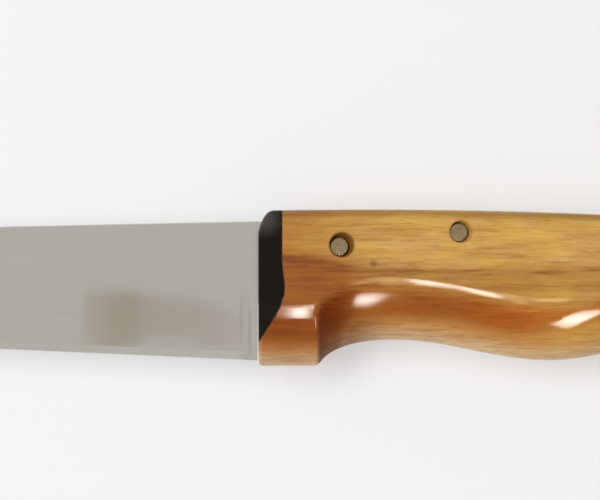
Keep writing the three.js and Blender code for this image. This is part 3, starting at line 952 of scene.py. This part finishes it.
def orange_band(tree, x, front):
    """The colour of the roll below the crease, painted shade where it turns away from the light: orange
    brown, darkest just behind the scoop's top, warmer towards the rear and russet towards the front."""
    rearward = add_node(tree, "ShaderNodeMapRange", {
        "Value": x, "From Min": SEAT.x + BAND_WARMS[0], "From Max": SEAT.x + BAND_WARMS[1],
    })
    band = add_node(tree, "ShaderNodeValToRGB", {"Fac": rearward.outputs[0]}, stops=[
        (0, "#AE6820"), (0.25, "#9E591C"), (0.42, "#A35C1D"), (0.6, "#AC5D1B"), (0.8, "#C06F26"),
        (1, "#C07C2A"),
    ])
    orange = add_node(tree, "ShaderNodeMixRGB", {
        "Fac": front, "Color1": band.outputs["Color"], "Color2": linear("#823407"),
    })
    return orange.outputs["Color"]


def rolled_underside(tree, grain, sides, front, rear):
    """The roll is painted orange brown below the flat sides as painted shade, and pale where it turns under
    and palest along the bottom as painted light from the pale floor. Gives the colour, and how far each
    point has rolled and has tucked under."""
    true_rise = add_node(tree, "ShaderNodeAttribute", attribute_name="rise").outputs["Fac"]
    waved = add_node(tree, "ShaderNodeMath", {
        0: grain["wander"], 1: WANDER_SHIFT, 2: true_rise,
    }, operation="MULTIPLY_ADD")
    rise = add_node(tree, "ShaderNodeMath", {
        0: grain["tone"], 1: STREAK_SHIFT, 2: waved.outputs[0],
    }, operation="MULTIPLY_ADD").outputs[0]
    # Painted shade: the roll is painted orange brown from the crease down.
    rolled = add_node(tree, "ShaderNodeMapRange", {
        "Value": rise, "From Min": ROLL_TURNS_ORANGE[0], "From Max": ROLL_TURNS_ORANGE[1],
    }, interpolation_type="SMOOTHSTEP")
    roll = add_node(tree, "ShaderNodeMixRGB", {
        "Fac": rolled.outputs[0], "Color1": sides, "Color2": orange_band(tree, grain["x"], front),
    })
    # Towards the rear the painted pale begins higher up and is more yellow.
    lifted = add_node(tree, "ShaderNodeMath", {
        0: rear, 1: REAR_SHIFT, 2: rise,
    }, operation="MULTIPLY_ADD")
    tucked = add_node(tree, "ShaderNodeMapRange", {
        "Value": lifted.outputs[0], "From Min": ROLL_TURNS_PALE[0], "From Max": ROLL_TURNS_PALE[1],
    }, interpolation_type="SMOOTHSTEP")
    yellowed = add_node(tree, "ShaderNodeMixRGB", {
        "Fac": rear, "Color1": linear("#C9924C"), "Color2": linear("#D6A450"),
    })
    pale = add_node(tree, "ShaderNodeMixRGB", {
        "Fac": front, "Color1": yellowed.outputs["Color"], "Color2": linear("#B06A2C"),
    })
    under = add_node(tree, "ShaderNodeMixRGB", {
        "Fac": tucked.outputs[0], "Color1": roll.outputs["Color"], "Color2": pale.outputs["Color"],
    })
    # Painted floor light: palest along the bottom.
    lowest = add_node(tree, "ShaderNodeMapRange", {
        "Value": true_rise, "From Min": FLOOR_LIGHT_SHOWS[0], "From Max": FLOOR_LIGHT_SHOWS[1],
        "To Min": 0, "To Max": 0.6,
    }, interpolation_type="SMOOTHSTEP")
    floor_lit = add_node(tree, "ShaderNodeMixRGB", {
        "Fac": lowest.outputs[0], "Color1": under.outputs["Color"], "Color2": linear("#E5CAA5"),
    })
    return floor_lit.outputs["Color"], rolled.outputs[0], tucked.outputs[0]


def painted_corner_shade(tree, x, rolled, tucked):
    """How dark the painted shade behind the guard is: on the roll in the corner, and a little further back
    where the wood tucks under."""
    behind = add_node(tree, "ShaderNodeMapRange", {
        "Value": x, "From Min": SEAT.x + SHADE_BEGINS[0], "From Max": SEAT.x + SHADE_BEGINS[1],
    }, interpolation_type="SMOOTHSTEP")
    shade_parts = []
    for fades, most, lying in ((ROLL_SHADE_FADES, 0.75, rolled), (UNDER_SHADE_FADES, 0.56, tucked)):
        fading = add_node(tree, "ShaderNodeMapRange", {
            "Value": x, "From Min": SEAT.x + fades[0], "From Max": SEAT.x + fades[1],
            "To Min": most, "To Max": 0,
        }, interpolation_type="SMOOTHSTEP")
        run = add_node(tree, "ShaderNodeMath", {
            0: behind.outputs[0], 1: fading.outputs[0],
        }, operation="MULTIPLY")
        shade_part = add_node(tree, "ShaderNodeMath", {0: run.outputs[0], 1: lying}, operation="MULTIPLY")
        shade_parts.append(shade_part.outputs[0])
    deepest = add_node(tree, "ShaderNodeMath", {0: shade_parts[0], 1: shade_parts[1]}, operation="MAXIMUM")
    return deepest.outputs[0]


def painted_edge_shade(tree):
    """How far the eased top edges are painted darker than the flat between them, as painted shade where
    they turn away from the light.
    """
    drop = add_node(tree, "ShaderNodeAttribute", attribute_name="drop").outputs["Fac"]
    on_edge = add_node(tree, "ShaderNodeMapRange", {
        "Value": drop, "From Min": EDGE_DARKENS[0], "From Max": EDGE_DARKENS[1],
        "To Min": 0.2, "To Max": 0.55,
    })
    near_top = add_node(tree, "ShaderNodeMapRange", {
        "Value": drop, "From Min": EDGE_CLEARS[0], "From Max": EDGE_CLEARS[1], "To Min": 1, "To Max": 0,
    }, interpolation_type="SMOOTHSTEP")
    edge_shade = add_node(tree, "ShaderNodeMath", {
        0: on_edge.outputs[0], 1: near_top.outputs[0],
    }, operation="MULTIPLY")
    return edge_shade.outputs[0]


def pores_knot_and_hole_rings(tree, place, along):
    """How far pores, a pin knot and a darker ring in and around the mouth of each rivet's hole darken the
    wood."""
    # Pores are slits about 3 mm long and 0.1 mm wide, drawn 0.3 mm wide so that they show.
    pores_at = add_node(tree, "ShaderNodeMapping", {
        "Vector": along, "Scale": (per(3.5), per(0.3), per(0.6)),
    })
    pores = add_node(tree, "ShaderNodeTexNoise", {
        "Vector": pores_at.outputs[0], "Scale": 1, "Detail": 1, "Roughness": 0.4,
    })
    dark = add_node(tree, "ShaderNodeMapRange", {
        "Value": pores.outputs["Fac"], "From Min": 0.62, "From Max": 0.76, "To Min": 0, "To Max": 0.3,
    }).outputs[0]
    spots = [PIN_KNOT]
    for node, (room, drift, depth) in COUNTERSINKS.items():
        mouth = RIVET_RADIUS + RIVET_SPREAD + room
        spots.append((rivet_places[node] + drift, mouth, mouth + HOLE_DARK_RING, depth))
    flat_place = add_node(tree, "ShaderNodeVectorMath", {0: place, 1: (1, 1, 0)}, operation="MULTIPLY")
    for spot, inner, outer, depth in spots:
        centre = spot + SEAT
        apart = add_node(tree, "ShaderNodeVectorMath", {
            0: flat_place.outputs[0], 1: (centre.x, centre.y, 0),
        }, operation="DISTANCE")
        darkening = add_node(tree, "ShaderNodeMapRange", {
            "Value": apart.outputs["Value"], "From Min": inner, "From Max": outer,
            "To Min": depth, "To Max": 0,
        })
        dark = add_node(tree, "ShaderNodeMath", {
            0: dark, 1: darkening.outputs[0],
        }, operation="MAXIMUM").outputs[0]
    return dark


def brush_varnish(tree, shader, place, corner_shade):
    """A clear gloss film that has dried in shallow waves a few millimetres apart. Where the shade behind
    the guard is painted, the coat is thinner and reflects less."""
    weight = add_node(tree, "ShaderNodeMapRange", {
        "Value": corner_shade, "From Min": 0.2, "From Max": 0.75, "To Min": 0.85, "To Max": 0.2,
    })
    tree.links.new(weight.outputs[0], shader.inputs["Coat Weight"])
    shader.inputs["Coat Roughness"].default_value = 0.08
    waves = add_node(tree, "ShaderNodeTexNoise", {
        "Vector": place, "Scale": per(5), "Detail": 0,
    })
    film = add_node(tree, "ShaderNodeBump", {
        "Height": waves.outputs["Fac"], "Strength": 0.3, "Distance": 0.03 * MM,
    })
    tree.links.new(film.outputs[0], shader.inputs["Coat Normal"])


def make_varnished_wood():
    """Beech under brushed clear gloss varnish: golden along the upper half of the grip, russet towards the
    guard and below a dark line, with fine lengthwise grain, short pores and sharp wet highlights. The roll
    is painted orange brown as painted shade and pale along the bottom as painted light from the floor, and
    painted shade darkens the corner behind the guard and the eased top edges."""
    material, tree, shader, place = new_material("beech_clear_varnished")
    grain = draw_grain(tree, place)
    front, rear = front_and_rear(tree, grain["x"])
    sides = flat_sides(tree, place, grain, front, rear)
    underside, rolled, tucked = rolled_underside(tree, grain, sides, front, rear)
    corner_shade = painted_corner_shade(tree, grain["x"], rolled, tucked)
    # Painted shade: the corner behind the guard is painted dark brown.
    shaded = add_node(tree, "ShaderNodeMixRGB", {
        "Fac": corner_shade, "Color1": underside, "Color2": linear("#682405"),
    })
    # Painted shade on the eased top edges.
    edge_shaded = add_node(tree, "ShaderNodeMixRGB", {
        "Fac": painted_edge_shade(tree), "Color1": shaded.outputs["Color"], "Color2": linear("#7D5526"),
    })
    streaks = add_node(tree, "ShaderNodeValToRGB", {"Fac": grain["tone"]}, stops=[
        (0.36, "#DCC6A6"), (0.5, "#F3EBDD"), (0.62, "#FFFFFF"),
    ])
    grained = add_node(tree, "ShaderNodeMixRGB", {
        "Fac": 1, "Color1": edge_shaded.outputs["Color"], "Color2": streaks.outputs["Color"],
    }, blend_type="MULTIPLY")
    # Pores, the pin knot, and a darker ring in and around each rivet's hole.
    spotted = add_node(tree, "ShaderNodeMixRGB", {
        "Fac": pores_knot_and_hole_rings(tree, place, grain["along"]),
        "Color1": grained.outputs["Color"], "Color2": linear("#5E370E"),
    })
    tree.links.new(spotted.outputs["Color"], shader.inputs["Base Color"])
    # The wood has no shine of its own: all of it comes from the varnish.
    shader.inputs["Roughness"].default_value = 0.5
    shader.inputs["Specular IOR Level"].default_value = 0
    fibre = add_node(tree, "ShaderNodeBump", {
        "Height": grain["tone"], "Strength": 0.2, "Distance": 0.05 * MM,
    })
    tree.links.new(fibre.outputs[0], shader.inputs["Normal"])
    brush_varnish(tree, shader, place, corner_shade)
    return material


def make_hammered_aluminium():
    """Aluminium pins, hammered over and sanded flush: dull warm grey under a film of varnish."""
    material, tree, shader, place = new_material("aluminium_hammered")
    # The real sanding scratches are under 0.1 mm apart; they are drawn 0.35 mm apart so that they show.
    marks_at = add_node(tree, "ShaderNodeMapping", {
        "Vector": place, "Scale": (per(2.2), per(0.35), per(1)), "Rotation": (0, 0, 0.5),
    })
    marks = add_node(tree, "ShaderNodeTexNoise", {
        "Vector": marks_at.outputs[0], "Scale": 1, "Detail": 4, "Roughness": 0.6,
    })
    base = add_node(tree, "ShaderNodeValToRGB", {"Fac": marks.outputs["Fac"]},
                    stops=[(0.3, "#9A8463"), (0.7, "#BFA982")])
    tree.links.new(base.outputs["Color"], shader.inputs["Base Color"])
    dull = add_node(tree, "ShaderNodeMapRange", {
        "Value": marks.outputs["Fac"], "From Min": 0.3, "From Max": 0.7, "To Min": 0.38, "To Max": 0.55,
    })
    tree.links.new(dull.outputs[0], shader.inputs["Roughness"])
    relief = add_node(tree, "ShaderNodeBump", {
        "Height": marks.outputs["Fac"], "Strength": 0.3, "Distance": 0.03 * MM,
    })
    tree.links.new(relief.outputs[0], shader.inputs["Normal"])
    shader.inputs["Metallic"].default_value = 1
    return material


def make_resin():
    """Brown resin glue, squeezed out and wiped off: a thin dull dark line, cloudy along its length."""
    material, tree, shader, place = new_material("resin_glue_wiped")
    clouds = add_node(tree, "ShaderNodeTexNoise", {"Vector": place, "Scale": per(2), "Detail": 2})
    base = add_node(tree, "ShaderNodeValToRGB", {"Fac": clouds.outputs["Fac"]},
                    stops=[(0.35, "#2A1508"), (0.65, "#4A2A12")])
    tree.links.new(base.outputs["Color"], shader.inputs["Base Color"])
    dull = add_node(tree, "ShaderNodeMapRange", {
        "Value": clouds.outputs["Fac"], "From Min": 0.35, "From Max": 0.65, "To Min": 0.5, "To Max": 0.7,
    })
    tree.links.new(dull.outputs[0], shader.inputs["Roughness"])
    return material


def dress(piece, node, slot, *materials):
    """Gives a piece its finish and lets it stand for its CAD node."""
    for material in materials:
        piece.data.materials.append(material)
    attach(piece, "root")
    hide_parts(node)


def whet(blade, band):
    """Gives the sharpened band along the edge its own finish."""
    for face in blade.data.polygons:
        middle = face.center - SEAT
        on_band = middle.x < -RICASSO_LENGTH and middle.y < edge_at(middle.x) + BEVEL_HEIGHT * WHETTED_SHARE
        if on_band and abs(middle.z) < BEVEL_THICKNESS:
            face.material_index = band


def make_floor():
    """A plain pale sheet under the knife."""
    mesh = bpy.data.meshes.new("floor")
    corners = [(-FLOOR_REACH, -FLOOR_REACH), (FLOOR_REACH, -FLOOR_REACH),
               (FLOOR_REACH, FLOOR_REACH), (-FLOOR_REACH, FLOOR_REACH)]
    mesh.from_pydata([(x, y, -FLOOR_DROP) for x, y in corners], [], [(0, 1, 2, 3)])
    floor = bpy.data.objects.new("floor", mesh)
    bpy.context.scene.collection.objects.link(floor)
    material, tree, shader, place = new_material("paper_white_matt")
    mottle = add_node(tree, "ShaderNodeTexNoise", {
        "Vector": place, "Scale": per(300), "Detail": 2,
    })
    base = add_node(tree, "ShaderNodeValToRGB", {"Fac": mottle.outputs["Fac"]},
                    stops=[(0.3, "#AEAEAE"), (0.7, "#B1B1B1")])
    tree.links.new(base.outputs["Color"], shader.inputs["Base Color"])
    shader.inputs["Roughness"].default_value = 0.9
    shader.inputs["Specular IOR Level"].default_value = 0
    # The sheet is lit a little from behind, which keeps the shadows beside the knife pale.
    shader.inputs["Emission Color"].default_value = linear("#FFFFFF")
    shader.inputs["Emission Strength"].default_value = 0.45
    mesh.materials.append(material)


def make_lamp(name, place, aim, size, radiance, spread=180, roll=0, tint="#FFFFFF", gloss_only=False):
    """A lamp of this brightness, turned to its aim and out of the camera's sight. It either lights the
    scene softly or shows only as a highlight."""
    data = bpy.data.lights.new(name, "AREA")
    data.shape = "RECTANGLE"
    data.size, data.size_y = size
    data.color = linear(tint)[:3]
    data.spread = math.radians(spread)
    # A narrower lamp of the same power looks brighter, and this takes that out again.
    half = data.spread / 2
    narrowing = math.tan(half) / (math.tan(half) - half) if spread < 180 else 1
    data.energy = radiance * math.pi * size[0] * size[1] / narrowing
    lamp = bpy.data.objects.new(name, data)
    lamp.location = SEAT + Vector(place)
    way = SEAT + Vector(aim) - lamp.location
    turn = way.to_track_quat("-Z", "Y") @ Quaternion((0, 0, 1), math.radians(roll))
    lamp.rotation_euler = turn.to_euler()
    lamp.visible_camera = False
    lamp.visible_diffuse = not gloss_only
    lamp.visible_glossy = gloss_only
    bpy.context.scene.collection.objects.link(lamp)


def make_card():
    """The dim card above the blade that shows as a soft dark place in its polish, and nowhere else."""
    # Millimetres behind the handle's front and above its top
    outline = [
        (-41.7, -21.5), (-29.1, -21.5), (-28.1, -22.7), (-17, -23.7), (-11.8, -24.6), (-7.8, -26.5),
        (-4.5, -28.9), (-4, -31), (-4, -35.5), (-13, -34.8), (-16.5, -32.5), (-27.9, -32.5),
        (-30, -35.3), (-42.6, -35.3), (-42.1, -30.8),
    ]
    points = [(x * MM, y * MM, CARD_HEIGHT) for x, y in outline]
    card = piece_of("card", points, [tuple(range(len(points)))])
    material, tree, shader, place = new_material("card_grey_matt")
    along = add_node(tree, "ShaderNodeSeparateXYZ", {"Vector": place}).outputs["X"]
    share = add_node(tree, "ShaderNodeMapRange", {
        "Value": along, "From Min": SEAT.x + CARD_SPAN[0], "From Max": SEAT.x + CARD_SPAN[1],
    })
    base = add_node(tree, "ShaderNodeValToRGB", {"Fac": share.outputs[0]}, stops=[
        (0.12, "#DFDCD5"), (0.18, "#D5D1C6"), (0.34, "#D5D1C6"), (0.42, "#DEDAD4"), (0.75, "#E0DCD8"),
        (1, "#EBEAEA"),
    ])
    tree.links.new(base.outputs["Color"], shader.inputs["Base Color"])
    shader.inputs["Roughness"].default_value = 0.9
    shader.inputs["Specular IOR Level"].default_value = 0
    card.data.materials.append(material)
    card.visible_camera = False
    card.visible_diffuse = False
    card.visible_shadow = False


def make_studio():
    """A white room: bright low down and overhead, darker between, with a window past the blade's tip."""
    world = bpy.data.worlds.new("studio")
    world.use_nodes = True
    tree = world.node_tree
    way = add_node(tree, "ShaderNodeTexCoord").outputs["Generated"]
    sides = add_node(tree, "ShaderNodeSeparateXYZ", {"Vector": way})
    walls = add_node(tree, "ShaderNodeValToRGB", {"Fac": sides.outputs["Z"]}, stops=[
        (0, "#E6E6E6"), (0.2, "#D0D0D0"), (0.35, "#8A8A8A"), (0.65, "#8E8E8E"), (0.9, "#CFCFCF"),
    ])
    window = add_node(tree, "ShaderNodeMapRange", {
        "Value": sides.outputs["X"], "From Min": -0.15, "From Max": -0.5, "To Min": 0, "To Max": 0.8,
    }, interpolation_type="SMOOTHSTEP")
    room = add_node(tree, "ShaderNodeMixRGB", {
        "Fac": window.outputs[0], "Color1": walls.outputs["Color"], "Color2": linear("#D4D4D4"),
    })
    tree.links.new(room.outputs["Color"], tree.nodes["Background"].inputs["Color"])
    bpy.context.scene.world = world


def make_camera():
    """Straight above the handle's front, where the photograph was taken from."""
    data = bpy.data.cameras.new("camera")
    data.sensor_width = SENSOR_WIDTH_MM
    # The shown width is measured in the handle's middle plane.
    data.lens = SENSOR_WIDTH_MM * (CAMERA_HEIGHT - HANDLE_THICKNESS / 2) / SHOWN_WIDTH
    data.clip_start = 0.01
    camera = bpy.data.objects.new("camera", data)
    camera.location = (SEAT.x + VIEW_CENTRE[0], SEAT.y + VIEW_CENTRE[1], CAMERA_HEIGHT)
    bpy.context.scene.collection.objects.link(camera)
    bpy.context.scene.camera = camera


blade_steel = make_ground_steel(
    "stainless_steel_ground", [(0.0, "#D4D1C8"), (1.0, "#D8D5CC")], 0.1, 0.35)
whetted_steel = make_ground_steel(
    "stainless_steel_whetted", [(0.0, "#D6D3CB"), (1.0, "#DBD8D0")], 0.12, 0.25)
blade = make_blade()
dress(blade, "blade", "blade_steel", blade_steel, whetted_steel)
whet(blade, 1)
dress(make_block(), "bolster", "black_block", make_black_block_finish())
dress(make_grip(), "handle", "varnished_wood", make_varnished_wood())
joint = make_glue_joint()
joint.data.materials.append(make_resin())
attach(joint, "root")
pin_metal = make_hammered_aluminium()
for node, place in rivet_places.items():
    dress(make_rivet("peened_" + node, place), node, "rivet_metal", pin_metal)

make_floor()
make_studio()
make_lamp("key", **KEY_LAMP)
for name, settings in GLOSS_LAMPS.items():
    make_lamp(name, gloss_only=True, **settings)
make_card()
make_camera()
bpy.context.scene.view_settings.view_transform = "Standard"
